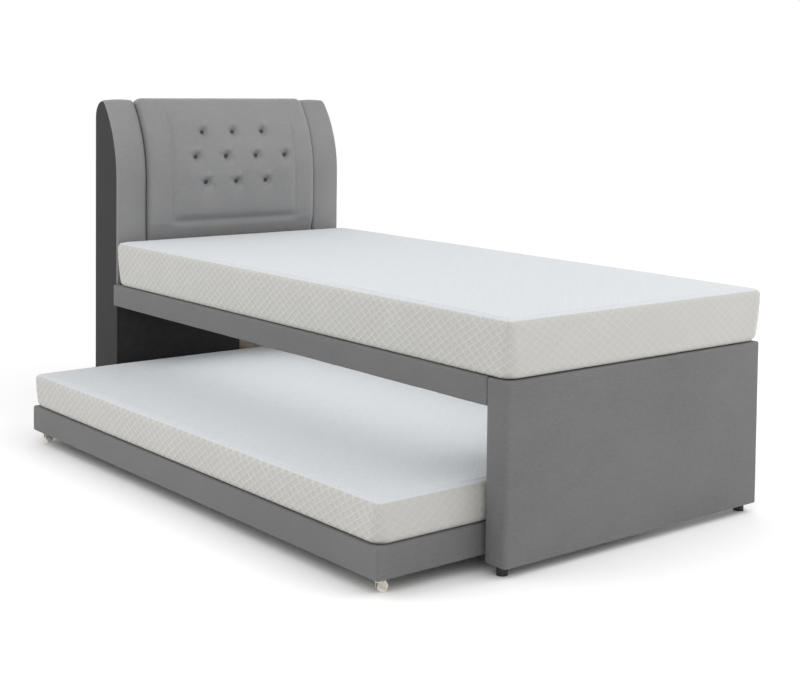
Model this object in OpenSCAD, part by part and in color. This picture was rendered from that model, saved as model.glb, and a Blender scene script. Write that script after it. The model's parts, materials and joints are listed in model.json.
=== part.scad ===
// Upholstered single bed with a pull-out trundle underneath.
//
// Millimetres, +Z up. The floor is z = 0. +Y points to the headboard, -Y to the foot.
// The trundle pulls out towards -X, called the near side; +X is the far side.
// The origin is on the floor at the middle of the whole footprint, trundle included,
// with the trundle standing partly pulled out.

/* [Mattresses] */
// length of the upper mattress
mattress_l = 1900; // [1700:10:2300]
// width of the upper mattress, which the bed base and the footboard match
mattress_w = 900; // [760:10:1100]
// thickness of the upper mattress
mattress_h = 140; // [90:5:260]
// thickness of the trundle mattress
tr_mattress_h = 100; // [70:5:130]
// radius of a mattress's upright corners
mattress_corner = 45; // [20:1:80]
// quilted panel on the top and the bottom of a mattress
quilt_t = 15; // [8:1:20]
// side band around a mattress
border_t = 10; // [6:1:15]

/* [Bed base] */
// height of the upper mattress's underside above the floor
sleep_h = 460; // [420:5:560]
// depth of the covered side rails
rail_h = 70; // [60:1:110]
// thickness of the timber rails, upper bed and trundle
rail_t = 22; // [18:1:30]
// padded fabric over the rails
fabric_t = 3; // [2:0.5:5]
// deck panel under a mattress
deck_t = 9; // [6:1:15]
// slat width
slat_w = 70; // [50:5:100]
// slat thickness
slat_t = 18; // [12:1:22]
// number of slats in the upper bed
slat_count = 11; // [7:1:13]
// width of the beam under the middle of the slats
beam_w = 40; // [30:5:60]
// thickness of the black lining cloth
lining_t = 1.5; // [1:0.5:3]

/* [Footboard] */
// thickness of the footboard
foot_t = 75; // [60:5:110]
// padded fabric wrapped around the footboard
foot_cover_t = 4; // [3:0.5:6]
// radius of the footboard's two outer upright edges
foot_edge_r = 10; // [6:1:12]
// plywood sheets of the footboard
ply_t = 6; // [4:1:9]
// width of the footboard's timber posts
post_w = 45; // [40:1:60]
// height of the glides under the footboard and the headboard
glide_h = 25; // [15:1:35]
// radius of those glides
glide_r = 14; // [10:1:15]

/* [Headboard] */
// height of the headboard, at the crown of its middle cushion
head_h = 1065; // [950:5:1120]
// how far the headboard is set in from the mattress's side, on each side
head_inset = 12.5; // [9:0.5:20]
// thickness of the headboard at its side wings
head_t = 150; // [105:1:180]
// width of each side wing
wing_w = 110; // [80:5:140]
// how far the middle cushion stands in front of the wings
pad_t = 22; // [12:1:35]
// how far the middle cushion stands above the wings
pad_rise = 5; // [2:1:10]
// height where the front starts to curve back
curve_z = 800; // [720:5:860]
// radius of that curve
curve_r = 400; // [350:5:600]
// radius of the top back edge
back_r = 55; // [15:1:60]
// depth of the padding in front of the headboard's frame
foam_t = 35; // [25:1:40]
// padded panel on each side of the headboard
side_t = 4; // [3:0.5:8]
// panel on the headboard's back
back_t = 4; // [3:0.5:8]
// thickness of the two timber uprights
upright_t = 30; // [24:1:40]
// thickness of the plywood ribs
rib_t = 18; // [12:1:22]
// depth of the headboard's cross rails
head_rail_h = 60; // [45:5:80]
// width of the bare board between the two linings
strut_w = 145; // [80:5:180]
// distance of that board's middle from the bed's middle, to the far side
strut_x = 100; // [0:5:130]

/* [Buttons] */
// radius of a tufting button
button_r = 9; // [6:0.5:14]
// thickness of a button
button_t = 5; // [3:0.5:8]
// how far a button's face is drawn in below the cushion
button_sink = 3; // [0:0.5:6]
// spacing of the buttons along a row
button_pitch = 118; // [80:1:130]
// how far the middle row, which has one button more, is shifted to the far side
button_shift = 22; // [0:1:25]
// heights of the three rows
button_z = [785, 872, 955]; // [650:1:1000]

/* [Trundle] */
// width of the trundle
tr_w = 850; // [700:10:1000]
// depth of the trundle's frame
tr_base_h = 75; // [60:1:100]
// how far the trundle stands out of the bed
pull_out = 300; // [100:10:600]
// space between the trundle and the footboard
tr_foot_gap = 12; // [8:1:40]
// space between the trundle and the headboard
tr_head_gap = 58; // [20:1:80]
// how far the trundle mattress is set in from the edge of its frame
tr_inset = 4; // [0:1:15]
// number of slats in the trundle
tr_slat_count = 9; // [5:1:11]
// side of the timber block in each corner
block_w = 60; // [56:1:75]

/* [Casters] */
// wheel radius
wheel_r = 12.5; // [10:0.5:20]
// width of the wheel's tread
wheel_w = 9; // [7:0.5:14]
// offset of the axle from the swivel axis
trail = 9; // [6:0.5:10]
// inset of the swivel axis from the trundle's corner, both ways
caster_inset = 30; // [27:1:32]
// side of the square mounting plate
plate_w = 44; // [42:1:50]
// thickness of the mounting plate
plate_t = 2; // [1.5:0.5:3]
// height of the swivel housing under the plate
housing_h = 7; // [5:0.5:12]
// radius of the swivel pin
pin_r = 4; // [3:0.5:5]
// radius of the axle
axle_r = 2.5; // [2:0.5:3.5]
// thickness of the fork's metal
fork_t = 2; // [1.5:0.5:3]

/* [Hidden] */
$fn = 64;

eps = 1;               // how far a cutting solid runs past what it cuts
head_clear = 3;        // between the mattress's head end and the middle cushion
swivel_clear = 0.05;   // radial running clearance of the swivel pin
axle_clear = 0.06;     // radial running clearance of the axle
side_clear = 0.4;      // gap beside the wheel, under the housing and over the wheel

// the bed, seen from above
total_l = mattress_l + head_clear + pad_t + head_t;
foot_y = -total_l / 2;
back_y = total_l / 2;
head_y = back_y - head_t;           // front plane of the wings
bay_y = foot_y + foot_t;            // inner face of the footboard
near_x = (pull_out - mattress_w) / 2;
far_x = near_x + mattress_w;
mid_x = (near_x + far_x) / 2;
head_w = mattress_w - 2 * head_inset;
hb_near_x = mid_x - head_w / 2;
hb_far_x = mid_x + head_w / 2;

// the base, from the top down
rail_z = sleep_h - rail_h;          // underside of the covered rails
beam_z = rail_z + fabric_t;         // underside of the timber
deck_z = sleep_h - deck_t;
slat_z = deck_z - slat_t;
inner_l = head_y - bay_y;
inner_near_x = near_x + fabric_t + rail_t;
inner_w = mattress_w - 2 * (fabric_t + rail_t);
bolt_r = 4;
bolt_head_r = 6.5;
bolt_head_h = 6;
bolt_l = 30;                        // how deep a bolt goes into a post or an upright
bolt_edge = 15;                     // bolt axis from the top and the bottom of a cross rail
bolt_rows = [beam_z + bolt_edge, deck_z - bolt_edge];

// the footboard
fb_top = sleep_h - foot_cover_t;    // top of the footboard's frame
fb_frame_y = foot_y + foot_cover_t + ply_t;
fb_frame_t = foot_t - foot_cover_t - 2 * ply_t;

// the headboard
wing_top = head_h - pad_rise;
frame_drop = 5;                     // top of the headboard's frame below its rounded top edge
frame_top = wing_top - back_r - frame_drop;
frame_back_y = back_y - back_t;
top_rail_t = 18;
cross_rail_t = 22;
lining_rise = 15;                   // bottom edge of the linings above the headboard's own
lining_drop = 2;                    // top edge of the linings below the rails
lining_z0 = glide_h + lining_rise;
lining_z1 = rail_z - lining_drop;
inner_hb_near_x = hb_near_x + side_t;
inner_hb_w = head_w - 2 * side_t;
// bolt axis, halfway between the inner faces of the rail and of the upright
bolt_x_in = (inner_hb_near_x + upright_t - inner_near_x) / 2;
upright_gap = inner_hb_w - 2 * upright_t;
rib_x = [-0.28, 0, 0.28];           // rib places, as shares of the space between the uprights
pad_w = head_w - 2 * wing_w;

// the trundle
tr_x = near_x - pull_out;
tr_y = bay_y + tr_foot_gap;
tr_l = inner_l - tr_foot_gap - tr_head_gap;
fork_z = 2 * wheel_r + 2 * side_clear;          // underside of the fork's crown
housing_z = fork_z + fork_t + side_clear;
plate_z = housing_z + housing_h;
tr_z = plate_z + plate_t;                       // underside of the trundle's frame
tr_top = tr_z + tr_base_h;
tr_deck_z = tr_top - deck_t;
tr_slat_z = tr_deck_z - slat_t;
housing_r = 11;
rivet_r = 4;
rivet_t = 0.8;
hub_r = 5.5;
hub_w = wheel_w + 2;
cheek_y = hub_w / 2 + side_clear;               // inner face of a fork cheek
screw_r = 1.75;
screw_head_r = 3.2;
screw_head_h = 1.2;
screw_l = 20;
screw_in = 16;                                  // screw from the swivel axis, both ways
swivel_near_x = tr_x + caster_inset;
swivel_far_x = tr_x + tr_w - caster_inset;
swivel_foot_y = tr_y + caster_inset;
swivel_head_y = tr_y + tr_l - caster_inset;

fabric_grey = [0.36, 0.36, 0.37];
fabric_dark = [0.24, 0.24, 0.25];
lining_black = [0.04, 0.04, 0.045];
knit_white = [0.90, 0.91, 0.93];
foam_cream = [0.90, 0.87, 0.76];
timber = [0.78, 0.62, 0.44];
plywood = [0.72, 0.58, 0.42];
zinc = [0.72, 0.70, 0.64];
plastic_white = [0.85, 0.84, 0.80];

// surface of the middle cushion at height z
function pad_y(z) = head_y + curve_r - sqrt(pow(curve_r + pad_t, 2) - pow(max(z - curve_z, 0), 2));
// how far that surface leans back at height z, in degrees
function pad_lean(z) = asin(max(z - curve_z, 0) / (curve_r + pad_t));

// ---------- shared shapes ----------

// box from one corner to the opposite one
module slab(x0, x1, y0, y1, z0, z1) {
    translate([x0, y0, z0]) cube([x1 - x0, y1 - y0, z1 - z0]);
}

// the headboard's profile from x0 to x1: upright front curving back above curve_z,
// inset from the wings' front, and a rounded top back edge
module head_block(x0, x1, inset, y1, z0, z1, r) {
    intersection() {
        slab(x0, x1, head_y + inset, y1, z0, z1);
        union() {
            slab(x0 - eps, x1 + eps, head_y + inset - eps, y1 + eps, z0 - eps, curve_z);
            translate([x0 - eps, head_y + curve_r, curve_z])
                rotate([0, 90, 0]) cylinder(r = curve_r - inset, h = x1 - x0 + 2 * eps);
        }
        union() {
            slab(x0 - eps, x1 + eps, head_y + inset - eps, y1, z0 - eps, z1 - r);
            slab(x0 - eps, x1 + eps, head_y + inset - eps, y1 - r, z0 - eps, z1);
            translate([x0 - eps, y1 - r, z1 - r])
                rotate([0, 90, 0]) cylinder(r = r, h = x1 - x0 + 2 * eps);
        }
    }
}

// the room that the headboard's frame takes behind the padding
module frame_room(x0, x1) {
    head_block(x0, x1, foam_t, frame_back_y + eps, sleep_h - eps, frame_top, eps);
}

// the shanks of the bolts, for the bolts and for their holes
module bolt_shanks() {
    for (x = [inner_near_x + bolt_x_in, inner_near_x + inner_w - bolt_x_in])
        for (z = bolt_rows) {
            translate([x, bay_y - bolt_l, z])
                rotate([-90, 0, 0]) cylinder(r = bolt_r, h = bolt_l + cross_rail_t);
            translate([x, head_y - cross_rail_t, z])
                rotate([-90, 0, 0]) cylinder(r = bolt_r, h = bolt_l + cross_rail_t);
        }
}

// plan of a mattress with rounded upright corners
module rounded_block(x0, y0, w, l, z0, h, r) {
    slab(x0 + r, x0 + w - r, y0, y0 + l, z0, z0 + h);
    slab(x0, x0 + w, y0 + r, y0 + l - r, z0, z0 + h);
    for (x = [x0 + r, x0 + w - r])
        for (y = [y0 + r, y0 + l - r])
            translate([x, y, z0]) cylinder(r = r, h = h);
}

module mattress_side_band(x0, y0, w, l, z0, h) {
    difference() {
        rounded_block(x0, y0, w, l, z0 + quilt_t, h - 2 * quilt_t, mattress_corner);
        rounded_block(x0 + border_t, y0 + border_t, w - 2 * border_t, l - 2 * border_t,
                      z0 + quilt_t - eps, h - 2 * quilt_t + 2 * eps, mattress_corner - border_t);
    }
}

module mattress_filling(x0, y0, w, l, z0, h) {
    rounded_block(x0 + border_t, y0 + border_t, w - 2 * border_t, l - 2 * border_t,
                  z0 + quilt_t, h - 2 * quilt_t, mattress_corner - border_t);
}

module mattress_quilts(x0, y0, w, l, z0, h) {
    for (z = [z0, z0 + h - quilt_t])
        rounded_block(x0, y0, w, l, z, quilt_t, mattress_corner);
}

// slats spread evenly between y0 and y1, half a slat clear of both ends
module slat_row(x0, x1, y0, y1, z0, count) {
    first = y0 + slat_w / 2;
    step = (y1 - y0 - 2 * slat_w) / (count - 1);
    for (i = [0 : count - 1])
        slab(x0, x1, first + i * step, first + i * step + slat_w, z0, z0 + slat_t);
}

// ---------- headboard ----------

module hb_uprights() {
    color(timber)
        difference() {
            for (x = [inner_hb_near_x, hb_far_x - side_t - upright_t]) {
                slab(x, x + upright_t, head_y, frame_back_y, glide_h, sleep_h);
                head_block(x, x + upright_t, foam_t, frame_back_y, sleep_h, frame_top, eps);
            }
            bolt_shanks();
        }
}

module top_rail_room(x0, x1) {
    slab(x0, x1, frame_back_y - top_rail_t, frame_back_y, frame_top - head_rail_h, frame_top - eps);
}

module hb_top_rail() {
    color(timber) top_rail_room(inner_hb_near_x + upright_t, hb_far_x - side_t - upright_t);
}

module hb_mid_rail() {
    color(timber)
        slab(inner_hb_near_x + upright_t, hb_far_x - side_t - upright_t,
             head_y + foam_t, frame_back_y, sleep_h, sleep_h + head_rail_h);
}

module hb_bottom_rail() {
    color(timber)
        slab(inner_hb_near_x + upright_t, hb_far_x - side_t - upright_t,
             head_y + foam_t, frame_back_y, glide_h, glide_h + head_rail_h);
}

module hb_ribs() {
    color(plywood)
        difference() {
            for (s = rib_x)
                head_block(mid_x + s * upright_gap - rib_t / 2, mid_x + s * upright_gap + rib_t / 2,
                           foam_t, frame_back_y, sleep_h + head_rail_h, frame_top, eps);
            top_rail_room(hb_near_x, hb_far_x);
        }
}

module hb_strut() {
    color(timber)
        slab(mid_x + strut_x - strut_w / 2, mid_x + strut_x + strut_w / 2,
             head_y, head_y + foam_t, glide_h, sleep_h);
}

module hb_back_panel() {
    color(fabric_dark)
        slab(inner_hb_near_x, hb_far_x - side_t, frame_back_y, back_y, glide_h, wing_top - back_r);
}

module hb_side_near() {
    color(fabric_dark) head_block(hb_near_x, inner_hb_near_x, 0, back_y, glide_h, wing_top, back_r);
}

module hb_side_far() {
    color(fabric_dark) head_block(hb_far_x - side_t, hb_far_x, 0, back_y, glide_h, wing_top, back_r);
}

// padding of a wing, over the front and the top of the frame
module wing(x0, x1) {
    difference() {
        head_block(x0, x1, 0, frame_back_y, sleep_h, wing_top, back_r - back_t);
        frame_room(x0 - eps, x1 + eps);
    }
}

module hb_wing_near() {
    color(fabric_grey) wing(inner_hb_near_x, hb_near_x + wing_w);
}

module hb_wing_far() {
    color(fabric_grey) wing(hb_far_x - wing_w, hb_far_x - side_t);
}

// a disc lying in the middle cushion, its outer face the given depth below the surface
module button_disc(x, z, depth, t) {
    translate([x, pad_y(z), z])
        rotate([-90 - pad_lean(z), 0, 0]) translate([0, 0, depth]) cylinder(r = button_r, h = t);
}

// the button places: the middle row has one button more than the others
module button_places(depth, t) {
    for (row = [0, 1, 2]) {
        count = row == 1 ? 4 : 3;
        shift = row == 1 ? button_shift : 0;
        for (i = [0 : count - 1])
            button_disc(mid_x + shift + (i - (count - 1) / 2) * button_pitch, button_z[row], depth, t);
    }
}

module hb_pad() {
    color(fabric_grey)
        difference() {
            head_block(mid_x - pad_w / 2, mid_x + pad_w / 2, -pad_t, frame_back_y, sleep_h, head_h,
                       back_r - back_t);
            frame_room(mid_x - pad_w / 2 - eps, mid_x + pad_w / 2 + eps);
            button_places(-button_t, button_sink + 2 * button_t);
        }
}

module hb_buttons() {
    color(lining_black) button_places(button_sink, button_t);
}

module hb_lining_near() {
    color(lining_black)
        slab(inner_hb_near_x, mid_x + strut_x - strut_w / 2, head_y - lining_t, head_y,
             lining_z0, lining_z1);
}

module hb_lining_far() {
    color(lining_black)
        slab(mid_x + strut_x + strut_w / 2, hb_far_x - side_t, head_y - lining_t, head_y,
             lining_z0, lining_z1);
}

// ---------- bed base ----------

module rail_near() {
    color(timber)
        slab(near_x + fabric_t, inner_near_x, bay_y, head_y, beam_z, sleep_h - fabric_t);
}

module rail_far() {
    color(timber)
        slab(inner_near_x + inner_w, far_x - fabric_t, bay_y, head_y, beam_z, sleep_h - fabric_t);
}

module rail_cover_near() {
    color(fabric_grey)
        difference() {
            slab(near_x, inner_near_x, bay_y, head_y, rail_z, sleep_h);
            slab(near_x + fabric_t, inner_near_x + eps, bay_y - eps, head_y + eps,
                 beam_z, sleep_h - fabric_t);
        }
}

module rail_cover_far() {
    color(fabric_grey)
        difference() {
            slab(inner_near_x + inner_w, far_x, bay_y, head_y, rail_z, sleep_h);
            slab(inner_near_x + inner_w - eps, far_x - fabric_t, bay_y - eps, head_y + eps,
                 beam_z, sleep_h - fabric_t);
        }
}

module cross_rails() {
    color(timber)
        difference() {
            for (y = [bay_y, head_y - cross_rail_t])
                slab(inner_near_x, inner_near_x + inner_w, y, y + cross_rail_t, beam_z, deck_z);
            bolt_shanks();
        }
}

module centre_beam() {
    color(timber)
        slab(mid_x - beam_w / 2, mid_x + beam_w / 2, bay_y + cross_rail_t, head_y - cross_rail_t,
             beam_z, slat_z);
}

module bed_slats() {
    color(plywood)
        slat_row(inner_near_x, inner_near_x + inner_w, bay_y + cross_rail_t, head_y - cross_rail_t,
                 slat_z, slat_count);
}

module bed_deck() {
    color(plywood)
        slab(inner_near_x, inner_near_x + inner_w, bay_y, head_y, deck_z, sleep_h);
}

module bed_lining() {
    color(lining_black)
        slab(inner_near_x, inner_near_x + inner_w, bay_y, head_y, beam_z - lining_t, beam_z);
}

module bed_bolts() {
    color(zinc) {
        bolt_shanks();
        for (x = [inner_near_x + bolt_x_in, inner_near_x + inner_w - bolt_x_in])
            for (z = bolt_rows)
                for (y = [bay_y + cross_rail_t, head_y - cross_rail_t - bolt_head_h])
                    translate([x, y, z])
                        rotate([-90, 0, 0]) cylinder(r = bolt_head_r, h = bolt_head_h, $fn = 6);
    }
}

// ---------- footboard ----------

module fb_posts() {
    color(timber)
        difference() {
            for (x = [near_x + foot_cover_t, far_x - foot_cover_t - post_w])
                slab(x, x + post_w, fb_frame_y, fb_frame_y + fb_frame_t, glide_h, fb_top);
            bolt_shanks();
        }
}

module fb_top_rail() {
    color(timber)
        slab(near_x + foot_cover_t + post_w, far_x - foot_cover_t - post_w,
             fb_frame_y, fb_frame_y + fb_frame_t, fb_top - post_w, fb_top);
}

module fb_bottom_rail() {
    color(timber)
        slab(near_x + foot_cover_t + post_w, far_x - foot_cover_t - post_w,
             fb_frame_y, fb_frame_y + fb_frame_t, glide_h, glide_h + post_w);
}

module fb_outer_panel() {
    color(plywood)
        slab(near_x + foot_cover_t, far_x - foot_cover_t, foot_y + foot_cover_t, fb_frame_y,
             glide_h, fb_top);
}

module fb_inner_panel() {
    color(fabric_grey)
        difference() {
            slab(near_x + foot_cover_t, far_x - foot_cover_t, bay_y - ply_t, bay_y, glide_h, fb_top);
            bolt_shanks();
        }
}

module fb_cover() {
    color(fabric_grey)
        difference() {
            union() {
                slab(near_x, far_x, foot_y + foot_edge_r, bay_y, glide_h, sleep_h);
                slab(near_x + foot_edge_r, far_x - foot_edge_r, foot_y, bay_y, glide_h, sleep_h);
                for (x = [near_x + foot_edge_r, far_x - foot_edge_r])
                    translate([x, foot_y + foot_edge_r, glide_h])
                        cylinder(r = foot_edge_r, h = sleep_h - glide_h);
            }
            slab(near_x + foot_cover_t, far_x - foot_cover_t, foot_y + foot_cover_t, bay_y + eps,
                 glide_h - eps, fb_top);
        }
}

module glides() {
    color(lining_black) {
        for (x = [near_x + foot_cover_t + post_w / 2, far_x - foot_cover_t - post_w / 2])
            translate([x, fb_frame_y + fb_frame_t / 2, 0]) cylinder(r = glide_r, h = glide_h);
        for (x = [inner_hb_near_x + upright_t / 2, hb_far_x - side_t - upright_t / 2])
            translate([x, (head_y + frame_back_y) / 2, 0]) cylinder(r = glide_r, h = glide_h);
    }
}

// ---------- upper mattress ----------

module mattress_core() {
    color(foam_cream) mattress_filling(near_x, foot_y, mattress_w, mattress_l, sleep_h, mattress_h);
}

module mattress_border() {
    color(knit_white) mattress_side_band(near_x, foot_y, mattress_w, mattress_l, sleep_h, mattress_h);
}

module mattress_panels() {
    color(knit_white) mattress_quilts(near_x, foot_y, mattress_w, mattress_l, sleep_h, mattress_h);
}

// ---------- trundle ----------

module tr_rail_near() {
    color(timber)
        slab(tr_x + fabric_t, tr_x + fabric_t + rail_t, tr_y + fabric_t + block_w,
             tr_y + tr_l - fabric_t - block_w, tr_z, tr_deck_z);
}

module tr_rail_far() {
    color(timber)
        slab(tr_x + tr_w - fabric_t - rail_t, tr_x + tr_w - fabric_t, tr_y + fabric_t + block_w,
             tr_y + tr_l - fabric_t - block_w, tr_z, tr_deck_z);
}

module tr_end_rails() {
    color(timber)
        for (y = [tr_y + fabric_t, tr_y + tr_l - fabric_t - rail_t])
            slab(tr_x + fabric_t + block_w, tr_x + tr_w - fabric_t - block_w, y, y + rail_t,
                 tr_z, tr_deck_z);
}

module tr_blocks() {
    color(timber)
        difference() {
            for (x = [tr_x + fabric_t, tr_x + tr_w - fabric_t - block_w])
                for (y = [tr_y + fabric_t, tr_y + tr_l - fabric_t - block_w])
                    slab(x, x + block_w, y, y + block_w, tr_z, tr_deck_z);
            screw_shanks();
        }
}

module tr_cover_near() {
    color(fabric_grey) slab(tr_x, tr_x + fabric_t, tr_y, tr_y + tr_l, tr_z, tr_top);
}

module tr_cover_far() {
    color(fabric_grey) slab(tr_x + tr_w - fabric_t, tr_x + tr_w, tr_y, tr_y + tr_l, tr_z, tr_top);
}

module tr_cover_ends() {
    color(fabric_grey)
        for (y = [tr_y, tr_y + tr_l - fabric_t])
            slab(tr_x + fabric_t, tr_x + tr_w - fabric_t, y, y + fabric_t, tr_z, tr_top);
}

module tr_slats() {
    color(plywood)
        slat_row(tr_x + fabric_t + rail_t, tr_x + tr_w - fabric_t - rail_t,
                 tr_y + fabric_t + block_w, tr_y + tr_l - fabric_t - block_w, tr_slat_z, tr_slat_count);
}

module tr_deck() {
    color(plywood)
        slab(tr_x + fabric_t, tr_x + tr_w - fabric_t, tr_y + fabric_t, tr_y + tr_l - fabric_t,
             tr_deck_z, tr_top);
}

module tr_lining() {
    color(lining_black)
        slab(tr_x + fabric_t + rail_t, tr_x + tr_w - fabric_t - rail_t, tr_y + fabric_t + block_w,
             tr_y + tr_l - fabric_t - block_w, tr_z, tr_z + lining_t);
}

module tr_mattress_core() {
    color(foam_cream)
        mattress_filling(tr_x + tr_inset, tr_y + tr_inset, tr_w - 2 * tr_inset, tr_l - 2 * tr_inset,
                         tr_top, tr_mattress_h);
}

module tr_mattress_border() {
    color(knit_white)
        mattress_side_band(tr_x + tr_inset, tr_y + tr_inset, tr_w - 2 * tr_inset, tr_l - 2 * tr_inset,
                           tr_top, tr_mattress_h);
}

module tr_mattress_panels() {
    color(knit_white)
        mattress_quilts(tr_x + tr_inset, tr_y + tr_inset, tr_w - 2 * tr_inset, tr_l - 2 * tr_inset,
                        tr_top, tr_mattress_h);
}

// ---------- casters ----------

// the shanks of all plate screws, for the screws and for their holes
module screw_shanks() {
    for (x = [swivel_near_x, swivel_far_x])
        for (y = [swivel_foot_y, swivel_head_y])
            for (i = [-1, 1])
                for (j = [-1, 1])
                    translate([x + i * screw_in, y + j * screw_in, plate_z])
                        cylinder(r = screw_r, h = plate_t + screw_l);
}

module caster_screws() {
    color(zinc) {
        screw_shanks();
        for (x = [swivel_near_x, swivel_far_x])
            for (y = [swivel_foot_y, swivel_head_y])
                for (i = [-1, 1])
                    for (j = [-1, 1])
                        translate([x + i * screw_in, y + j * screw_in, plate_z - screw_head_h])
                            cylinder(r = screw_head_r, h = screw_head_h);
    }
}

module caster_plates() {
    color(zinc)
        difference() {
            for (x = [swivel_near_x, swivel_far_x])
                for (y = [swivel_foot_y, swivel_head_y]) {
                    slab(x - plate_w / 2, x + plate_w / 2, y - plate_w / 2, y + plate_w / 2,
                         plate_z, tr_z);
                    translate([x, y, housing_z]) cylinder(r = housing_r, h = housing_h);
                }
            for (x = [swivel_near_x, swivel_far_x])
                for (y = [swivel_foot_y, swivel_head_y])
                    translate([x, y, housing_z - eps])
                        cylinder(r = pin_r + swivel_clear, h = housing_h + plate_t + 2 * eps);
            screw_shanks();
        }
}

// fork with its swivel pin above and its riveted axle below, wheel trailing to +X
module fork(x, y) {
    color(zinc)
        translate([x, y, 0]) {
            translate([0, 0, fork_z]) cylinder(r = housing_r, h = fork_t);
            translate([0, 0, fork_z]) cylinder(r = pin_r, h = tr_z - fork_z - plate_t / 2);
            for (s = [-1, 1]) {
                cheek_mid_y = s * (cheek_y + fork_t / 2);
                slab(-housing_r / 2, trail + rivet_r, cheek_mid_y - fork_t / 2,
                     cheek_mid_y + fork_t / 2, wheel_r, fork_z + fork_t);
                translate([trail, s * cheek_y, wheel_r])
                    rotate([-90 * s, 0, 0]) cylinder(r = rivet_r, h = fork_t + rivet_t);
            }
            translate([trail, 0, wheel_r])
                rotate([90, 0, 0]) cylinder(r = axle_r, h = 2 * cheek_y + fork_t, center = true);
        }
}

module wheel(x, y) {
    color(plastic_white)
        translate([x + trail, y, wheel_r])
            rotate([90, 0, 0])
                difference() {
                    union() {
                        cylinder(r = wheel_r, h = wheel_w, center = true);
                        cylinder(r = hub_r, h = hub_w, center = true);
                    }
                    cylinder(r = axle_r + axle_clear, h = hub_w + 2 * eps, center = true);
                }
}

hb_uprights();
hb_ribs();
hb_top_rail();
hb_mid_rail();
hb_bottom_rail();
hb_strut();
hb_back_panel();
hb_side_near();
hb_side_far();
hb_wing_near();
hb_wing_far();
hb_pad();
hb_buttons();
hb_lining_near();
hb_lining_far();
rail_near();
rail_far();
rail_cover_near();
rail_cover_far();
cross_rails();
centre_beam();
bed_slats();
bed_deck();
bed_lining();
bed_bolts();
fb_posts();
fb_top_rail();
fb_bottom_rail();
fb_outer_panel();
fb_inner_panel();
fb_cover();
glides();
mattress_core();
mattress_border();
mattress_panels();
tr_rail_near();
tr_rail_far();
tr_end_rails();
tr_blocks();
tr_cover_near();
tr_cover_far();
tr_cover_ends();
tr_slats();
tr_deck();
tr_lining();
tr_mattress_core();
tr_mattress_border();
tr_mattress_panels();
caster_plates();
caster_screws();
fork(swivel_near_x, swivel_foot_y);  // fork_near_foot
fork(swivel_near_x, swivel_head_y);  // fork_near_head
fork(swivel_far_x, swivel_foot_y);  // fork_far_foot
fork(swivel_far_x, swivel_head_y);  // fork_far_head
wheel(swivel_near_x, swivel_foot_y);  // wheel_near_foot
wheel(swivel_near_x, swivel_head_y);  // wheel_near_head
wheel(swivel_far_x, swivel_foot_y);  // wheel_far_foot
wheel(swivel_far_x, swivel_head_y);  // wheel_far_head
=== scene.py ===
"""Looks of an upholstered bed with a pull-out trundle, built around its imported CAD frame.

Metres, in the frame's own axes: +Z up, +Y to the headboard, the trundle pulls out to -X.
"""

import json
import math

import bpy
import numpy as np
from mathutils import Matrix, Vector


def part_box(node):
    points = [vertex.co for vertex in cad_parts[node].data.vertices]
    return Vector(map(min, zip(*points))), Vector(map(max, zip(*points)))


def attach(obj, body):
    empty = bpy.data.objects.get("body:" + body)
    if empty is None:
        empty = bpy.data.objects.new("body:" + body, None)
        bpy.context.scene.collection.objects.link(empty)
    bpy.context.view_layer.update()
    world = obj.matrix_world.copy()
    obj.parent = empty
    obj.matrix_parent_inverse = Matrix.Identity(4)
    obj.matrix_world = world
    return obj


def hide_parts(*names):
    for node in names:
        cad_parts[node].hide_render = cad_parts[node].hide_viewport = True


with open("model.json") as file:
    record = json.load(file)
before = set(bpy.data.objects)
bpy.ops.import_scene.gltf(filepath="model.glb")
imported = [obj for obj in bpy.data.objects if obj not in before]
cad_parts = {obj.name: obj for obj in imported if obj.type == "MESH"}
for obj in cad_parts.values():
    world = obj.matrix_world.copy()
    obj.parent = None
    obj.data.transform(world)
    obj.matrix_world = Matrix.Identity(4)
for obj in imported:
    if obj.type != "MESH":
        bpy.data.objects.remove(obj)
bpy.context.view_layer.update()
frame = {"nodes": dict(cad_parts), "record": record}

# ---------- sizes that the frame's boxes don't give ----------

# Headboard
CURVE_Z = 0.800  # height where the front starts to curve back
CURVE_R = 0.400  # radius of that curve, on the wings
BACK_R = 0.051  # radius of the cushions' top back edge
BACK_DROP = 0.012  # how far the cushions run down behind
WING_SKIN = 0.018  # thickness that the wings' cushions are drawn with
WING_HEM = 0.003  # how far a wing's cloth hangs below its CAD solid
PAD_SKIN = 0.036  # thickness of the middle cushion, whose sides show beside the wings
OVERLAP = 0.0035  # how far a wing's cloth runs over the edge of the side panel
TUCK = 0.004  # how far the side panel's edge lies behind the wing's cloth
CLOTH = 0.0015  # thickness of a turned-in hem
FOLD_Z = 0.655  # height of the sewn fold across the middle cushion
FOLD_IN = 0.088  # from the middle cushion's sides to its upright folds
PANEL_LIFT = 0.010  # how far the middle cushion's panel stands over its border
BORDER_SWELL = 0.004  # swell of that border between the side and the upright fold
UPRIGHT_FOLD = 0.0045  # depth of the upright folds
LEVEL_FOLD = 0.0075  # depth of the fold across
LOW_DROP = 0.016  # how far the cushion lies back below the fold across
PAD_EDGE = 0.026  # rounding of the middle cushion's side edges
WING_EDGE = 0.013  # rounding of a wing's edge along the middle cushion
WING_CROWN = 0.003  # rise of a wing towards its middle
BUTTON_DEPTH = 0.0085  # how deep the buttons pull the cushion in
BUTTON_HOLLOW = 0.0040  # depth of the wide hollow around a button
BUTTON_SWELL = 0.0055  # swell of the cloth just above a button
PLEAT = 0.0010  # height of the pleats around a button
BUTTON_R = 0.0095  # radius of a covered button
BUTTON_DOME = 0.0045  # height of its dome
BUTTON_APART = 0.03  # a CAD point this near to a button's middle belongs to that button
BUTTON_SIDES = 28  # points around a button
BUTTON_RINGS = 7  # rings of faces on a button's dome

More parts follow.
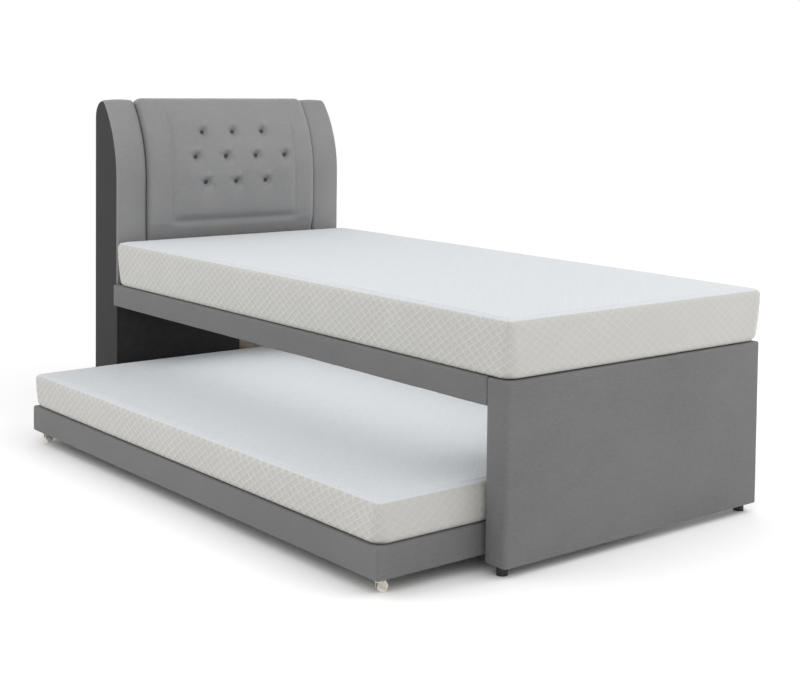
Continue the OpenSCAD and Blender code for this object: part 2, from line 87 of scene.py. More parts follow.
# Mattresses
QUILT_ALONG = 0.031  # length of a quilting diamond on a mattress's side
QUILT_UP = 0.0225  # height of a quilting diamond on a mattress's side
TOP_QUILT = 0.048  # quilting diamond on a mattress's top
QUILT_RELIEF = 0.0012  # height of the quilting
CASE_EDGE = 0.016  # rounding of a mattress's top and bottom edges
BAND_DEPTH = 0.026  # thickness that the side band is drawn with
BAND_BULGE = 0.0035  # swell of the side band between its edges
CORNER_SEAM = 0.0024  # height of the seams at a mattress's corners
PANEL_DEPTH = 0.014  # thickness that the top and bottom panels are drawn with
CORNER_R = 0.040  # radius of a mattress's upright corners at the bottom
CORNER_TAPER = 0.027  # how much smaller that radius is at the top
TOP_CROWN = 0.006  # rise of a mattress's top towards its middle
TOP_INSET = 0.014  # from a mattress's sides to the edges of its top and bottom panels

# Trundle's cover
WRAP_EDGE = 0.005  # rounding of its edges
WRAP_CORNER = 0.007  # radius of its upright corners
WRAP_LIP = 0.028  # how far it is turned in over the frame
WRAP_THICK = 0.0062  # thickness that its upright part is drawn with
WRAP_HEM = 0.012  # how far it is turned in under the frame

# Meshes
SOFT_STEP = 0.005  # mesh step of flat upholstered faces
BAND_STEP = 0.0032  # mesh step of the quilted side bands
WRAP_STEP = 0.006  # mesh step of the trundle's cover
PAD_STEP = 0.0035  # mesh step of the headboard's middle cushion
WING_STEP = 0.004  # mesh step of its wings
FINE_STEP = 0.001  # step at which the headboard's profile is smoothed
SMOOTH_STEPS = 11  # width of that smoothing, in fine steps
SMOOTH_REACH = 40  # how far it looks to each side, in fine steps
RUN = "run"  # mesh attribute that holds the length along a swept band
RELIEF = "relief"  # mesh attribute that holds how strongly the quilting shows

# Camera
CAMERA_AT = (-2.532, -3.514, 1.146)
CAMERA_AZIMUTH = -40.3  # degrees around from the foot end, minus towards the near side
CAMERA_ELEVATION = 3.0  # degrees above level
CAMERA_ROLL = 0.8  # degrees
CAMERA_LENS = 66.8  # millimetres, on a sensor 36 wide
CAMERA_SHIFT = (-0.0835, -0.2306)


# ---------- mesh helpers ----------


def make_object(name, points, faces, materials, smooth=True):
    """New mesh object from points and faces, with its materials."""
    mesh = bpy.data.meshes.new(name)
    mesh.from_pydata([tuple(p) for p in points], [], [list(f) for f in faces])
    mesh.validate()
    mesh.update()
    for material in materials:
        mesh.materials.append(material)
    if smooth:
        mesh.shade_smooth()
    obj = bpy.data.objects.new(name, mesh)
    bpy.context.scene.collection.objects.link(obj)
    return obj


def points_of(obj):
    """The mesh's points as an array."""
    found = np.zeros(len(obj.data.vertices) * 3)
    obj.data.vertices.foreach_get("co", found)
    return found.reshape(-1, 3)


def normals_of(obj):
    """The mesh's point normals as an array."""
    found = np.zeros(len(obj.data.vertices) * 3, np.float32)
    obj.data.vertex_normals.foreach_get("vector", found)
    return found.reshape(-1, 3).astype(float)


def displace(obj, amount):
    """Moves each point along its normal by amount(points, normals)."""
    points, normals = points_of(obj), normals_of(obj)
    moved = points + normals * amount(points, normals)[:, None]
    obj.data.vertices.foreach_set("co", moved.ravel())
    obj.data.update()


def ripple(points, scale, seed):
    """Smooth pseudo-random waves from -1 to 1, the same at every run."""
    rng = np.random.default_rng(seed)
    total = np.zeros(len(points))
    for _ in range(7):
        direction = rng.normal(size=3)
        direction /= np.linalg.norm(direction)
        pitch = scale * rng.uniform(0.6, 1.5)
        total += np.sin(points @ direction * (2 * math.pi / pitch) + rng.uniform(0, 6.28))
    return total / 7


def bell(distance, width):
    """1 at distance 0, falling off over width."""
    return np.exp(-((distance / width) ** 2))


def round_corner(a, b):
    """Moves points of a square corner onto circles around its inner corner."""
    reach = np.maximum(a, b)
    length = np.maximum(np.hypot(a, b), 1e-12)
    return a * reach / length, b * reach / length


def rim_and_middle(sheet, rings):
    """Quads of a sheet's outer rings, and one flat face for all that is inside them."""
    quads = np.stack([sheet[:-1, :-1], sheet[:-1, 1:], sheet[1:, 1:], sheet[1:, :-1]], -1)
    keep = np.ones(quads.shape[:2], bool)
    keep[rings:-rings, rings:-rings] = False
    inner = sheet[rings:-rings, rings:-rings]
    loop = [*inner[:-1, 0], *inner[-1, :-1], *inner[:0:-1, -1], *inner[0, :0:-1]]
    return quads[keep], [loop[::-1]]


def soft_box(name, lo, hi, step, edge, materials, corner=0.0, plain_base=False):
    """Closed box with rounded edges, and upright corners of radius corner, as an even mesh.

    With plain_base, one flat face fills most of its underside.
    """
    lo, hi = np.array(lo, float), np.array(hi, float)
    counts = np.maximum(np.round((hi - lo) / step).astype(int), 4)
    shell = np.zeros(counts + 1, bool)
    shell[[0, -1]] = True
    shell[:, [0, -1]] = True
    shell[:, :, [0, -1]] = True
    index = np.full(shell.shape, -1)
    index[shell] = np.arange(shell.sum())
    faces = []
    for axis in range(3):
        for end in (0, -1):
            sheet = np.take(index, end, axis=axis)
            if plain_base and axis == 2 and end == 0:
                rim, middle = rim_and_middle(sheet, int(edge / step) + 3)
                faces += [*rim, *middle]
                continue
            quads = np.stack([sheet[:-1, :-1], sheet[1:, :-1], sheet[1:, 1:], sheet[:-1, 1:]], -1)
            quads = quads.reshape(-1, 4)
            inward = (end == 0) != (axis == 1)
            faces += list(quads[:, ::-1] if inward else quads)
    points = lo + np.argwhere(shell) / counts * (hi - lo)
    points = round_plan(points, lo, hi, max(corner, edge))
    points = round_rims(points, lo, hi, max(corner, edge), edge)
    used = np.unique(np.concatenate([np.asarray(f) for f in faces]))
    renumber = np.full(len(points), -1)
    renumber[used] = np.arange(len(used))
    return make_object(name, points[used], [renumber[f] for f in faces], materials)


def round_plan(points, lo, hi, radius):
    """Rounds the box's upright corners."""
    middle, half = (lo + hi)[:2] / 2, (hi - lo)[:2] / 2
    away = points[:, :2] - middle
    past = np.maximum(np.abs(away) - (half - radius), 0)
    a, b = round_corner(past[:, 0], past[:, 1])
    inner = np.minimum(np.abs(away), half - radius)
    points = points.copy()
    points[:, :2] = middle + np.sign(away) * (inner + np.stack([a, b], 1))
    return points


def round_rims(points, lo, hi, radius, edge):
    """Rounds the box's top and bottom edges."""
    middle, half = (lo + hi) / 2, (hi - lo) / 2
    away = points - middle
    past = np.abs(away[:, :2]) - (half[:2] - radius)
    corner = np.maximum(past, 0)
    length = np.hypot(corner[:, 0], corner[:, 1])
    inside = radius - length - np.minimum(past.max(1), 0)
    out = np.where(length[:, None] > 1e-9, corner / np.maximum(length, 1e-9)[:, None], 0)
    flat = length <= 1e-9
    out[flat, 0] = past[flat, 0] >= past[flat, 1]
    out[flat, 1] = past[flat, 0] < past[flat, 1]
    near_side = np.clip(edge - inside, 0, edge)
    near_rim = np.clip(edge - (half[2] - np.abs(away[:, 2])), 0, edge)
    a, b = round_corner(near_side, near_rim)
    moved = points.copy()
    moved[:, :2] += np.sign(away[:, :2]) * out * (a - near_side)[:, None]
    moved[:, 2] += np.sign(away[:, 2]) * (b - near_rim)
    return moved


def swept_band(name, lo, hi, profile, step, materials):
    """Closed band around the rectangle lo to hi.

    profile lists (outward, z, corner radius) once around the band's cross-section, from the
    bottom of its outer face upwards.
    """
    middle = (np.array(lo[:2]) + np.array(hi[:2])) / 2
    half = (np.array(hi[:2]) - np.array(lo[:2])) / 2
    profile = np.array(profile)
    out, height, radius = profile[:, 0], profile[:, 1], profile[:, 2]
    stations = []
    turn_steps = max(int(np.max(radius) * math.pi / 2 / step), 5)
    for quarter in (1, 2, 3, 4):
        side = 2 * half[(quarter + 1) % 2]
        straight = max(int(side / step), 4)
        stations += [(quarter, i / straight, None) for i in range(straight)]
        stations += [(quarter, None, i / turn_steps) for i in range(turn_steps)]
    rows = []
    for quarter, share, turn in stations:
        rows.append(band_row(middle, half, out, height, radius, quarter, share, turn))
    points = np.array(rows)
    count, around = points.shape[:2]
    outermost = points[:, np.argmax(out)]
    steps = np.linalg.norm(np.diff(outermost, axis=0), axis=1)
    run = np.concatenate([[0], np.cumsum(steps)])
    index = np.arange(count * around).reshape(count, around)
    along = np.roll(index, -1, axis=0)
    quads = np.stack([index, along, np.roll(along, -1, 1), np.roll(index, -1, 1)], -1)
    obj = make_object(name, points.reshape(-1, 3), quads.reshape(-1, 4), materials)
    write_attribute(obj, RUN, np.repeat(run, around))
    return obj


def write_attribute(obj, name, values):
    """Stores one number per point on the mesh, for its material to read."""
    made = obj.data.attributes.new(name, "FLOAT", "POINT")
    made.data.foreach_set("value", np.asarray(values, np.float32))


def run_of(obj):
    """Each point's place along a swept band, in metres from the head side's far corner."""
    found = np.zeros(len(obj.data.vertices), np.float32)
    obj.data.attributes[RUN].data.foreach_get("value", found)
    return found.astype(float)


def band_row(middle, half, out, height, radius, quarter, share, turn):
    """One cross-section of a swept band, on the side or corner that quarter counts round to.

    It lies a share of the way along the side, or a turn of the way round the corner.
    """
    angle = quarter * math.pi / 2
    outward = np.array([math.cos(angle), math.sin(angle)])
    ahead = np.array([-outward[1], outward[0]])
    reach = abs(half @ outward)
    run = abs(half @ ahead)
    if turn is None:
        place = (2 * share - 1) * (run - radius)
        flat = np.outer(reach + out, outward) + np.outer(place, ahead)
    else:
        bend = turn * math.pi / 2
        arm = radius + out
        flat = np.outer(reach - radius + arm * math.cos(bend), outward)
        flat += np.outer(run - radius + arm * math.sin(bend), ahead)
    return np.column_stack([flat + middle, height])


def face_outline(low, high, edge, steps, rows, past=0):
    """Outer face of a band as (outward, z), from low to high, with rounded edges.

    Each edge has that many steps, and the top one goes on inwards and down by past more.
    """
    outline = []
    for i in range(steps + 1):
        turn = -math.pi / 2 + i / steps * math.pi / 2
        outline.append((edge * (math.cos(turn) - 1), low + edge * (1 + math.sin(turn))))
    for i in range(1, rows):
        outline.append((0.0, low + edge + i / rows * (high - low - 2 * edge)))
    for i in range(steps + 1 + past):
        turn = i / steps * math.pi / 2
        outline.append((edge * (math.cos(turn) - 1), high - edge * (1 - math.sin(turn))))
    return outline


def closed_sheet(name, outer, inner, materials):
    """Closed form from two grids of points with the same counts, outer seen from outside."""
    rows, cols = outer.shape[:2]
    top = np.arange(rows * cols).reshape(rows, cols)
    low = top + rows * cols
    faces = []
    for grid, turned in ((top, False), (low, True)):
        quads = np.stack([grid[:-1, :-1], grid[1:, :-1], grid[1:, 1:], grid[:-1, 1:]], -1)
        quads = quads.reshape(-1, 4)
        faces += list(quads[:, ::-1] if turned else quads)
    rim = [*top[:-1, 0], *top[-1, :-1], *top[:0:-1, -1], *top[0, :0:-1]]
    base = [*low[:-1, 0], *low[-1, :-1], *low[:0:-1, -1], *low[0, :0:-1]]
    for i, here in enumerate(rim):
        after = (i + 1) % len(rim)
        faces.append([here, base[i], base[after], rim[after]])
    points = np.concatenate([outer.reshape(-1, 3), inner.reshape(-1, 3)])
    return make_object(name, points, faces, materials)


# ---------- materials ----------


class Shader:
    """A node material: short calls that add a node and link it."""

    def __init__(self, name, color, roughness, **sockets):
        self.material = bpy.data.materials.new(name)
        self.material.use_nodes = True
        self.tree = self.material.node_tree
        self.surface = self.tree.nodes["Principled BSDF"]
        self.surface.inputs["Base Color"].default_value = (*color, 1)
        self.surface.inputs["Roughness"].default_value = roughness
        for socket, value in sockets.items():
            self.surface.inputs[socket.replace("_", " ")].default_value = value
        self.place = self.node("ShaderNodeTexCoord").outputs["Object"]

    def node(self, kind, **settings):
        """A new node with those settings."""
        made = self.tree.nodes.new(kind)
        for key, value in settings.items():
            setattr(made, key, value)
        return made

    def link(self, source, target):
        """Links an output to an input, or sets the input to a number."""
        if isinstance(source, (int, float)):
            target.default_value = source
        else:
            self.tree.links.new(source, target)

    def math(self, operation, first, second=0.0):
        """The result of a Math node."""
        made = self.node("ShaderNodeMath", operation=operation)
        self.link(first, made.inputs[0])
        self.link(second, made.inputs[1])
        return made.outputs[0]

    def attribute(self, name):
        """The value stored on the mesh under that name."""
        return self.node("ShaderNodeAttribute", attribute_name=name).outputs["Fac"]

    def stretched(self, scale):
        """Object coordinates times scale on each axis."""
        made = self.node("ShaderNodeMapping")
        made.inputs["Scale"].default_value = scale
        self.link(self.place, made.inputs["Vector"])
        return made.outputs[0]

    def noise(self, scale, detail, roughness=0.5):
        """Cloudy noise, so dense along x, y and z."""
        made = self.node("ShaderNodeTexNoise")
        made.inputs["Scale"].default_value = 1.0
        made.inputs["Detail"].default_value = detail
        made.inputs["Roughness"].default_value = roughness
        self.link(self.stretched(scale), made.inputs["Vector"])
        return made.outputs["Fac"]

    def waves(self, scale, direction, distortion):
        """Wavy bands, so dense along x, y and z."""
        made = self.node("ShaderNodeTexWave", bands_direction=direction)
        made.inputs["Scale"].default_value = 1.0
        made.inputs["Distortion"].default_value = distortion
        self.link(self.stretched(scale), made.inputs["Vector"])
        return made.outputs["Fac"]

    def ranged(self, value, low, high):
        """value from 0 to 1, spread from low to high."""
        made = self.node("ShaderNodeMapRange")
        self.link(value, made.inputs["Value"])
        made.inputs["To Min"].default_value = low
        made.inputs["To Max"].default_value = high
        return made.outputs["Result"]

    def ramp(self, value, stops):
        """Colours over value; stops lists (position, colour)."""
        made = self.node("ShaderNodeValToRGB")
        elements = made.color_ramp.elements
        while len(elements) < len(stops):
            elements.new(0.5)
        for element, (position, color) in zip(elements, stops):
            element.position = position
            element.color = (*color, 1)
        self.link(value, made.inputs["Fac"])
        return made.outputs["Color"]

    def tint(self, color, value):
        """A colour times a value."""
        made = self.node("ShaderNodeMix", data_type="RGBA", blend_type="MULTIPLY")
        made.inputs["Factor"].default_value = 1.0
        self.link(color, made.inputs["A"])
        self.link(value, made.inputs["B"])
        return made.outputs["Result"]

    def worn(self, low, high):
        """A value that is high on outer edges and low elsewhere."""
        point = self.node("ShaderNodeNewGeometry").outputs["Pointiness"]
        made = self.node("ShaderNodeMapRange", clamp=True)
        self.link(point, made.inputs["Value"])
        made.inputs["From Min"].default_value = 0.50
        made.inputs["From Max"].default_value = 0.62
        made.inputs["To Min"].default_value = low
        made.inputs["To Max"].default_value = high
        return made.outputs["Result"]

    def color(self, source):
        """Sets the surface's colour."""
        self.link(source, self.surface.inputs["Base Color"])

    def roughness(self, source):
        """Sets the surface's roughness."""
        self.link(source, self.surface.inputs["Roughness"])

    def bump(self, height, distance, strength):
        """Gives the surface a fine relief."""
        made = self.node("ShaderNodeBump")
        made.inputs["Distance"].default_value = distance
        made.inputs["Strength"].default_value = strength
        self.link(height, made.inputs["Height"])
        self.link(made.outputs["Normal"], self.surface.inputs["Normal"])


def shade(color, share):
    """A colour times a share, at most 1."""
    return tuple(min(c * share, 1.0) for c in color)


def woven(name, color, roughness, sheen, crepe=1.0):
    """Crepe upholstery: short level ribs over a fine weave, with uneven dye and paler edges."""
    s = Shader(name, color, roughness, Sheen_Weight=sheen, Sheen_Roughness=0.45)
    ribs = s.noise((95, 95, 620), 4.0, 0.6)
    weft = s.waves((300, 300, 0), "DIAGONAL", 1.2)
    warp = s.waves((0, 0, 420), "Z", 1.2)
    yarn = s.math("MULTIPLY", weft, warp)
    dye = s.noise((3.5, 3.5, 5), 3.0, 0.55)
    mottle = s.math("ADD", s.math("MULTIPLY", ribs, 0.65), s.math("MULTIPLY", dye, 0.35))
    tone = s.ramp(mottle, [(0.30, shade(color, 0.80)), (0.50, color), (0.72, shade(color, 1.18))])
    s.color(s.tint(tone, s.worn(1.0, 1.12)))
    s.roughness(s.ranged(ribs, roughness - 0.07, roughness + 0.07))
    relief = s.math("ADD", s.math("MULTIPLY", ribs, crepe), s.math("MULTIPLY", yarn, 0.25))
    s.bump(relief, 0.0009, 0.8)
    return s.material


def diamond_lines(s, across, up, along, height):
    """1 on the stitched diagonal lines of a diamond lattice and 0 between them."""
    a = s.math("DIVIDE", across, along)
    b = s.math("DIVIDE", up, height)
    slopes = []
    for operation in ("ADD", "SUBTRACT"):
        turn = s.math("MULTIPLY", s.math(operation, a, b), math.pi)
        slopes.append(s.math("ABSOLUTE", s.math("SINE", turn)))
    nearest = s.math("MINIMUM", *slopes)
    made = s.node("ShaderNodeMapRange", clamp=True, interpolation_type="SMOOTHSTEP")
    s.link(nearest, made.inputs["Value"])
    made.inputs["From Min"].default_value = 0.04
    made.inputs["From Max"].default_value = 0.50
    made.inputs["To Min"].default_value = 1.0
    made.inputs["To Max"].default_value = 0.0
    return made.outputs["Result"]


def quilted_knit(name, cell, line, along, height, level):
    """White stretch knit with diamond quilting, level on a top or upright on a side.

    cell and line are its colours between the stitches and on them, and along and height are
    the diamonds' size. The line's paler colour is partly the thread's own and partly painted
    highlight on the raised stitching, and the darker cells are partly painted shade.
    """
    s = Shader(name, line, 0.85, Sheen_Weight=0.25, Sheen_Roughness=0.5)
    split = s.node("ShaderNodeSeparateXYZ")
    s.link(s.place, split.inputs[0])
    x, y, z = split.outputs
    across, up = (x, y) if level else (s.attribute(RUN), z)
    stitches = diamond_lines(s, across, up, along, height)
    lines = s.math("MULTIPLY", stitches, s.attribute(RELIEF))
    loops = s.noise((900, 900, 900), 2.0, 0.5)
    soft = s.noise((9, 9, 9), 3.0, 0.5)
    uneven = s.math("ADD", lines, s.math("MULTIPLY", s.math("SUBTRACT", soft, 0.5), 0.5))
    # pale lines and darker cells: partly the thread's colour, partly painted highlight and shade of
    # the quilting's relief
    s.color(s.ramp(uneven, [(0.0, cell), (1.0, line)]))
    s.roughness(s.ranged(loops, 0.78, 0.92))
    relief = s.math("ADD", s.math("MULTIPLY", lines, 1.2), s.math("MULTIPLY", loops, 0.5))
    s.bump(relief, 0.0012, 0.7)
    return s.material


def nonwoven(name, color):
    """Thin lining cloth with its pressed dots."""
    s = Shader(name, color, 0.9)
    dots = s.node("ShaderNodeTexVoronoi", feature="F1")
    dots.inputs["Scale"].default_value = 420
    s.link(s.place, dots.inputs["Vector"])
    haze = s.noise((30, 30, 30), 3.0, 0.6)
    s.color(s.ramp(haze, [(0.3, shade(color, 0.6)), (0.7, shade(color, 1.5))]))
    s.roughness(s.ranged(haze, 0.8, 0.97))
    s.bump(dots.outputs["Distance"], 0.0006, 0.6)
    return s.material


def wooden(name, color, grain, rings):
    """Sawn timber or plywood; grain and rings are how dense its figure is along x, y and z."""
    s = Shader(name, color, 0.65)
    fibres = s.noise(grain, 5.0, 0.62)
    bands = s.waves(rings, "DIAGONAL", 6.0)
    mix = s.math("ADD", s.math("MULTIPLY", fibres, 0.6), s.math("MULTIPLY", bands, 0.4))
    s.color(s.ramp(mix, [(0.25, shade(color, 0.62)), (0.5, color), (0.8, shade(color, 1.25))]))
    s.roughness(s.ranged(fibres, 0.52, 0.78))
    s.bump(fibres, 0.0006, 0.5)
    return s.material


def metal(name, color, roughness):
    """Plated metal with brushed streaks, rubbed paler on its edges."""
    s = Shader(name, color, roughness, Metallic=1.0)
    streaks = s.noise((500, 500, 3000), 3.0, 0.6)
    stain = s.noise((60, 60, 60), 3.0, 0.6)
    tone = s.ramp(stain, [(0.3, shade(color, 0.78)), (0.7, shade(color, 1.12))])
    s.color(s.tint(tone, s.worn(0.96, 1.2)))
    s.roughness(s.ranged(stain, roughness - 0.08, roughness + 0.12))
    s.bump(streaks, 0.00015, 0.5)
    return s.material


def moulded(name, color, roughness):
    """Moulded plastic with a fine satin skin, scuffed on its edges."""
    s = Shader(name, color, roughness, Specular_IOR_Level=0.45)
    scuffs = s.noise((160, 160, 160), 4.0, 0.65)
    s.color(s.ramp(scuffs, [(0.3, shade(color, 0.86)), (0.6, color), (0.8, shade(color, 1.08))]))
    s.roughness(s.ranged(scuffs, roughness - 0.06, roughness + 0.15))
    s.bump(s.noise((1800, 1800, 1800), 2.0), 0.0001, 0.6)
    return s.material


def pale_floor():
    """Near-white studio floor with a faint unevenness."""
    s = Shader("studio_floor", (0.97, 0.97, 0.97), 0.9)
    haze = s.noise((0.8, 0.8, 0.8), 2.0)
    s.color(s.ramp(haze, [(0.3, (0.965, 0.965, 0.965)), (0.7, (0.975, 0.975, 0.975))]))
    return s.material


GREY = (0.132, 0.132, 0.133)
# the grey upholstery made paler as painted light, for the headboard's front
SATIN_LIT_GREY = (0.190, 0.190, 0.192)
# the grey upholstery darkened as painted shade, for the headboard's sides
SIDE_SHADE_GREY = (0.021, 0.021, 0.022)

crepe_grey = woven("crepe_grey", GREY, 0.84, 0.12)
# the grey crepe again, smoother and with more sheen, its paler colour painted light on the
# headboard's front
satin_painted_light = woven("satin_painted_light", SATIN_LIT_GREY, 0.44, 0.25, 0.35)
# the grey crepe again, darkened and with less sheen, as painted shade on the headboard's sides
crepe_painted_shade = woven("crepe_painted_shade", SIDE_SHADE_GREY, 0.90, 0.03)
# one white knit in two copies: the side's darker as painted shade, the top's paler and bluer as
# painted light from above
knit_side_painted_shade = quilted_knit(
    "knit_side_painted_shade",
    cell=(0.435, 0.428, 0.405),
    line=(0.53, 0.525, 0.505),
    along=QUILT_ALONG,
    height=QUILT_UP,
    level=False,
)
knit_top_painted_light = quilted_knit(
    "knit_top_painted_light",
    cell=(0.530, 0.556, 0.578),
    line=(0.562, 0.584, 0.602),
    along=TOP_QUILT,
    height=TOP_QUILT,
    level=True,
)

# Material of each slot in the record
FINISHES = {
    "upholstery": crepe_grey,
    # the headboard's sides: grey upholstery darkened as painted shade
    "side_upholstery": crepe_painted_shade,
    "lining": nonwoven("lining_black", (0.012, 0.012, 0.013)),
    # the top's copy of the knit, paler as painted light
    "knit": knit_top_painted_light,
    "foam": moulded("foam_cream", (0.80, 0.74, 0.56), 0.9),
    # pine darkened to about half its colour, as painted shade on the timber under the bed
    "timber": wooden("pine_darkened_as_shade", (0.230, 0.188, 0.155), (70, 5, 70), (9, 2, 9)),
    "plywood": wooden("film_faced_plywood", (0.034, 0.028, 0.023), (60, 6, 160), (7, 2, 60)),
    "button": woven("button_cloth", (0.028, 0.028, 0.030), 0.55, 0.2, 0.3),
    "zinc": metal("zinc_plate", (0.66, 0.62, 0.54), 0.34),
    "steel": metal("steel_bright", (0.58, 0.58, 0.58), 0.30),
    "caster_plastic": moulded("wheel_plastic", (0.74, 0.72, 0.66), 0.42),
    "glide_plastic": moulded("glide_black", (0.02, 0.02, 0.021), 0.5),
}


# ---------- mattresses ----------


def ridge(across, up, along, height):
    """Raised stitching of the diamond lattice: 1 on the lines and 0 inside the cells."""
    first = np.abs(np.sin(math.pi * (across / along + up / height)))
    second = np.abs(np.sin(math.pi * (across / along - up / height)))
    return bell(np.minimum(first, second), 0.42)


def quilting_strength(band):
    """How strongly the quilting and its partly painted pale lines show: fully along the sides,
    faintly on the ends, where they stand for flatter light.
    """
    points, normals = points_of(band), normals_of(band)
    along_sides = np.abs(normals[:, 0]) / np.maximum(np.hypot(normals[:, 0], normals[:, 1]), 1e-6)
    return np.clip(0.28 + 0.62 * along_sides**2 + 0.16 * ripple(points, 0.5, 7), 0, 1)


def band_profile(low, high):
    """Cross-section of a mattress's side band, for swept_band."""
    rows = int((high - low - 2 * CASE_EDGE) / BAND_STEP)
    outline = face_outline(low, high, CASE_EDGE, 6, rows, past=2)
    outline.append((-BAND_DEPTH, high - 0.012))
    outline.append((-BAND_DEPTH, low + 0.004))
    thick = high - low
    return [(o, z, max(CORNER_R - CORNER_TAPER * (z - low) / thick, 0.002 - o)) for o, z in outline]


def corner_seams(points, lo, hi):
    """1 on the upright seam in the middle of each of a mattress's corners, and 0 elsewhere."""
    seams = np.zeros(len(points))
    for x in (lo.x, hi.x):
        for y in (lo.y, hi.y):
            dx, dy = points[:, 0] - x, points[:, 1] - y
            close = np.hypot(dx, dy) < 0.05
            seams += bell(np.abs(np.abs(dx) - np.abs(dy)), 0.0032) * close
    return seams


def side_band(name, lo, hi):
    """A mattress's quilted side band, swollen between its edges."""
    low, high = lo.z, hi.z
    band = swept_band(name, lo, hi, band_profile(low, high), BAND_STEP, [knit_side_painted_shade, knit_top_painted_light])
    run = run_of(band) + 0.0035 * ripple(points_of(band), 0.16, 13)
    band.data.attributes[RUN].data.foreach_set("value", run.astype(np.float32))
    shown = quilting_strength(band)
    write_attribute(band, RELIEF, shown)
    # the band's uppermost faces take the top's paler copy, painted light
    for face in band.data.polygons:
        face.material_index = int(face.center.z > high - 0.006)

    def swell(points, normals):
        up = (points[:, 2] - low) / (high - low)
        upright = np.clip(1 - np.abs(normals[:, 2]) * 1.1, 0, 1)
        lines = ridge(run, points[:, 2], QUILT_ALONG, QUILT_UP)
        bulge = BAND_BULGE * np.sin(math.pi * np.clip(up, 0, 1))
        slack = 0.0012 * ripple(points, 0.21, 3)
        seams = CORNER_SEAM * corner_seams(points, lo, hi)
        return upright * (QUILT_RELIEF * shown * lines + bulge + slack + seams) - 0.0005

    displace(band, swell)
    return band


def top_panel(name, lo, hi):
    """A mattress's crowned and quilted top."""
    top = soft_box(
        name,
        (lo.x + TOP_INSET, lo.y + TOP_INSET, hi.z - PANEL_DEPTH),
        (hi.x - TOP_INSET, hi.y - TOP_INSET, hi.z + 0.001),
        step=SOFT_STEP,
        edge=0.007,
        materials=[knit_top_painted_light],
        corner=0.007,
        plain_base=True,
    )
    middle, half = (lo + hi) / 2, (hi - lo) / 2

    def crown(points, normals):
        x = np.abs(points[:, 0] - middle.x) / half.x
        y = np.abs(points[:, 1] - middle.y) / half.y
        facing = np.clip(normals[:, 2], 0, 1)
        rise = TOP_CROWN * (1 - x**4) * (1 - y**8)
        lines = ridge(points[:, 0], points[:, 1], TOP_QUILT, TOP_QUILT)
        quilting = QUILT_RELIEF * (0.5 - lines) * rise / TOP_CROWN
        return facing * (rise + quilting + 0.0008 * ripple(points, 0.4, 5))

    displace(top, crown)
    write_attribute(top, RELIEF, np.full(len(top.data.vertices), 0.6))
    return top


def bottom_panel(name, lo, hi):
    """A mattress's plain underside."""
    base = soft_box(
        name,
        (lo.x + TOP_INSET, lo.y + TOP_INSET, lo.z + 0.0005),
        (hi.x - TOP_INSET, hi.y - TOP_INSET, lo.z + PANEL_DEPTH),
        step=0.02,
        edge=0.005,
        materials=[knit_side_painted_shade],
        corner=0.024,
    )
    write_attribute(base, RELIEF, np.full(len(base.data.vertices), 0.3))
    return base


def mattress(prefix, panels, border, core, body):
    """One mattress: quilted side band, crowned top panel and plain bottom panel."""
    lo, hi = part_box(panels)
    band = side_band(prefix + "_side_band", lo, hi)
    top = top_panel(prefix + "_top_panel", lo, hi)
    base = bottom_panel(prefix + "_bottom_panel", lo, hi)
    for piece in (band, top, base):
        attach(piece, body)
    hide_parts(border, core)
    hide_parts(panels)


# ---------- headboard ----------


def head_profile(front, low, top, back, step=WING_STEP):
    """Points (y, z) up the front, back over the curve and the top, and a little way down behind.

    A smoothing pass rounds the turns between those stretches.
    """
    bend = CURVE_R + (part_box("hb_wing_near")[0].y - front)
    centre = front + bend
    line = [(front, z) for z in np.arange(low, CURVE_Z, step / 2)]
    last = math.asin((top - CURVE_Z) / bend)
    for turn in np.linspace(0, last, 90):
        line.append((centre - bend * math.cos(turn), CURVE_Z + bend * math.sin(turn)))
    line += [(y, top) for y in np.linspace(line[-1][0], back - BACK_R, 14)[1:]]
    for turn in np.linspace(0, math.pi / 2, 14)[1:]:
        y = back - BACK_R + BACK_R * math.sin(turn)
        z = top - BACK_R + BACK_R * math.cos(turn)
        line.append((y, z))
    line += [(back, z) for z in np.linspace(top - BACK_R, top - BACK_R - BACK_DROP, 4)[1:]]
    line = np.array(line)
    run = np.concatenate([[0], np.cumsum(np.hypot(*np.diff(line, axis=0).T))])
    fine = np.arange(0, run[-1], FINE_STEP)
    line = np.column_stack([np.interp(fine, run, line[:, 0]), np.interp(fine, run, line[:, 1])])
    places = np.arange(-SMOOTH_REACH, SMOOTH_REACH + 1)
    kernel = np.exp(-0.5 * (places / SMOOTH_STEPS) ** 2)
    kernel /= kernel.sum()
    longer = np.vstack([
        line[0] - np.outer(np.arange(SMOOTH_REACH, 0, -1), line[1] - line[0]),
        line,
        line[-1] + np.outer(np.arange(1, SMOOTH_REACH + 1), line[-1] - line[-2]),
    ])
    smooth = np.column_stack([np.convolve(longer[:, i], kernel, "valid") for i in (0, 1)])
    return smooth[:: round(step / FINE_STEP)]


